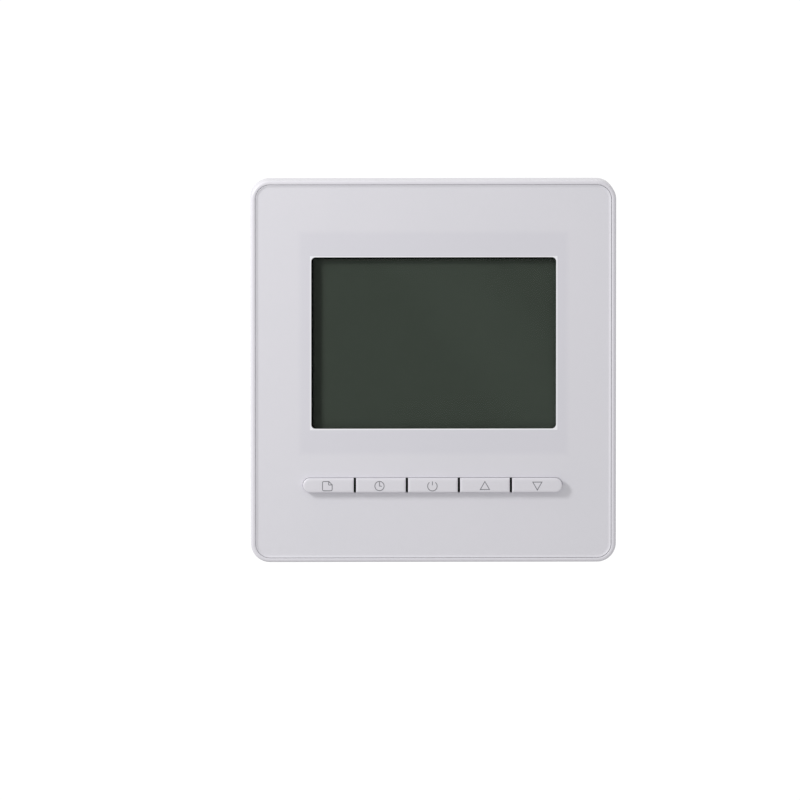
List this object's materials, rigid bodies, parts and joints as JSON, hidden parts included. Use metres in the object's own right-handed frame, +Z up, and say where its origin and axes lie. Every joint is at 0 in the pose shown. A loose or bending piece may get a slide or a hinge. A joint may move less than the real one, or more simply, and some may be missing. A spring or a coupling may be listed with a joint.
{
  "type": "wall thermostat",
  "caption": "Square flat wall thermostat with a display window, a row of push keys below it, a tilting front on a screwed wall plate and a deep terminal box behind.",
  "frame": {"origin": "centre of the plate's back face, on the plane of the wall", "axes": "+Z up, +Y into the wall, +X to the right as seen from the room"},
  "size_m": [0.086, 0.0421, 0.09],
  "materials": {
    "white_abs_frame": "fine satin",
    "white_abs_face": "fine matte",
    "white_abs_key": "satin",
    "clear_acrylic": "clear, polished",
    "polariser_film": "smooth film",
    "display_glass": "polished, grey green",
    "reflector_film": "smooth film",
    "light_guide_acrylic": "polished",
    "led_resin": "moulded",
    "holder_plastic": "moulded",
    "zebra_rubber": "layered",
    "circuit_board_green": "solder mask",
    "zinc_screw": "zinc plated",
    "black_header": "moulded",
    "pin_brass": "gold flashed",
    "switch_black": "moulded",
    "plunger_black": "moulded",
    "sensor_resin": "dipped resin",
    "chip_black": "moulded epoxy",
    "cell_steel": "nickel plated",
    "crystal_can": "drawn",
    "chip_ceramic": "sintered",
    "base_plastic": "moulded",
    "box_plastic": "moulded",
    "circuit_board_tan": "paper laminate",
    "transformer_plastic": "moulded",
    "core_iron": "laminated",
    "winding_tape": "polyester tape",
    "relay_blue": "moulded",
    "capacitor_sleeve": "shrunk sleeve",
    "film_yellow": "moulded",
    "varistor_blue": "dipped",
    "fuse_brown": "moulded",
    "terminal_green": "moulded",
    "tinned_brass": "tin plated",
    "cage_steel": "zinc plated",
    "screw_steel": "zinc plated"
  },
  "bodies": {
    "wall_base": {"mounting_plate": "base_plastic", "snap_fingers": "base_plastic", "rear_box": "box_plastic", "box_screws": "zinc_screw", "supply_board": "circuit_board_tan", "supply_board_screws": "zinc_screw", "link_socket": "black_header", "transformer_base": "transformer_plastic", "transformer_core": "core_iron", "transformer_winding": "winding_tape", "relay": "relay_blue", "smoothing_capacitors": "capacitor_sleeve", "suppression_capacitor": "film_yellow", "varistor": "varistor_blue", "fuse_link": "fuse_brown", "voltage_regulator": "chip_black", "terminal_block": "terminal_green", "contact_bars": "tinned_brass"},
    "front_panel": {"front_frame": "white_abs_frame", "face_plate": "white_abs_face", "window_lens": "clear_acrylic", "front_polariser": "polariser_film", "lcd_cell": "display_glass", "rear_polariser": "reflector_film", "light_guide": "light_guide_acrylic", "backlight_leds": "led_resin", "lcd_holder": "holder_plastic", "lcd_connector_strip": "zebra_rubber", "display_board": "circuit_board_green", "board_screws": "zinc_screw", "link_header": "black_header", "link_pins": "pin_brass", "switch_housings": "switch_black", "air_sensor": "sensor_resin", "microcontroller": "chip_black", "clock_battery": "cell_steel", "clock_crystal": "crystal_can", "chip_parts": "chip_ceramic"},
    "page_button": {"page_key": "white_abs_key", "page_switch_plunger": "plunger_black"},
    "clock_button": {"clock_key": "white_abs_key", "clock_switch_plunger": "plunger_black"},
    "power_button": {"power_key": "white_abs_key", "power_switch_plunger": "plunger_black"},
    "up_button": {"up_key": "white_abs_key", "up_switch_plunger": "plunger_black"},
    "down_button": {"down_key": "white_abs_key", "down_switch_plunger": "plunger_black"},
    "screw_1": {"terminal_screw_1": "screw_steel"},
    "clamp_1": {"clamp_cage_1": "cage_steel"},
    "screw_2": {"terminal_screw_2": "screw_steel"},
    "clamp_2": {"clamp_cage_2": "cage_steel"},
    "screw_3": {"terminal_screw_3": "screw_steel"},
    "clamp_3": {"clamp_cage_3": "cage_steel"},
    "screw_4": {"terminal_screw_4": "screw_steel"},
    "clamp_4": {"clamp_cage_4": "cage_steel"},
    "screw_5": {"terminal_screw_5": "screw_steel"},
    "clamp_5": {"clamp_cage_5": "cage_steel"},
    "screw_6": {"terminal_screw_6": "screw_steel"},
    "clamp_6": {"clamp_cage_6": "cage_steel"}
  },
  "joints": [
    {"name": "panel_tilt", "type": "hinge", "parent": "wall_base", "child": "front_panel", "pos_m": [0, -0.00105, 0.04235], "axis": [-1, 0, 0], "range_deg": [0, 25], "deforming": ["snap_fingers"]},
    {"name": "page_press", "type": "slide", "parent": "front_panel", "child": "page_button", "axis": [0, 1, 0], "range_m": [0, 0.0004], "stiffness_N_per_m": 1500},
    {"name": "clock_press", "type": "slide", "parent": "front_panel", "child": "clock_button", "axis": [0, 1, 0], "range_m": [0, 0.0004], "stiffness_N_per_m": 1500},
    {"name": "power_press", "type": "slide", "parent": "front_panel", "child": "power_button", "axis": [0, 1, 0], "range_m": [0, 0.0004], "stiffness_N_per_m": 1500},
    {"name": "up_press", "type": "slide", "parent": "front_panel", "child": "up_button", "axis": [0, 1, 0], "range_m": [0, 0.0004], "stiffness_N_per_m": 1500},
    {"name": "down_press", "type": "slide", "parent": "front_panel", "child": "down_button", "axis": [0, 1, 0], "range_m": [0, 0.0004], "stiffness_N_per_m": 1500},
    {"name": "screw_1_turn", "type": "hinge", "parent": "wall_base", "child": "screw_1", "pos_m": [-0.0175, 0.0228, -0.019], "axis": [0, -1, 0], "range_deg": [0, 1620]},
    {"name": "clamp_1_rise", "type": "slide", "parent": "wall_base", "child": "clamp_1", "axis": [0, 1, 0], "range_m": [0, 0.00314]},
    {"name": "screw_2_turn", "type": "hinge", "parent": "wall_base", "child": "screw_2", "pos_m": [-0.0105, 0.0228, -0.019], "axis": [0, -1, 0], "range_deg": [0, 1620]},
    {"name": "clamp_2_rise", "type": "slide", "parent": "wall_base", "child": "clamp_2", "axis": [0, 1, 0], "range_m": [0, 0.00314]},
    {"name": "screw_3_turn", "type": "hinge", "parent": "wall_base", "child": "screw_3", "pos_m": [-0.0035, 0.0228, -0.019], "axis": [0, -1, 0], "range_deg": [0, 1620]},
    {"name": "clamp_3_rise", "type": "slide", "parent": "wall_base", "child": "clamp_3", "axis": [0, 1, 0], "range_m": [0, 0.00314]},
    {"name": "screw_4_turn", "type": "hinge", "parent": "wall_base", "child": "screw_4", "pos_m": [0.0035, 0.0228, -0.019], "axis": [0, -1, 0], "range_deg": [0, 1620]},
    {"name": "clamp_4_rise", "type": "slide", "parent": "wall_base", "child": "clamp_4", "axis": [0, 1, 0], "range_m": [0, 0.00314]},
    {"name": "screw_5_turn", "type": "hinge", "parent": "wall_base", "child": "screw_5", "pos_m": [0.0105, 0.0228, -0.019], "axis": [0, -1, 0], "range_deg": [0, 1620]},
    {"name": "clamp_5_rise", "type": "slide", "parent": "wall_base", "child": "clamp_5", "axis": [0, 1, 0], "range_m": [0, 0.00314]},
    {"name": "screw_6_turn", "type": "hinge", "parent": "wall_base", "child": "screw_6", "pos_m": [0.0175, 0.0228, -0.019], "axis": [0, -1, 0], "range_deg": [0, 1620]},
    {"name": "clamp_6_rise", "type": "slide", "parent": "wall_base", "child": "clamp_6", "axis": [0, 1, 0], "range_m": [0, 0.00314]}
  ],
  "couplings": [
    {"joint": "screw_1_turn", "follows": "clamp_1_rise", "rad_per_m": 8976},
    {"joint": "screw_2_turn", "follows": "clamp_2_rise", "rad_per_m": 8976},
    {"joint": "screw_3_turn", "follows": "clamp_3_rise", "rad_per_m": 8976},
    {"joint": "screw_4_turn", "follows": "clamp_4_rise", "rad_per_m": 8976},
    {"joint": "screw_5_turn", "follows": "clamp_5_rise", "rad_per_m": 8976},
    {"joint": "screw_6_turn", "follows": "clamp_6_rise", "rad_per_m": 8976}
  ]
}
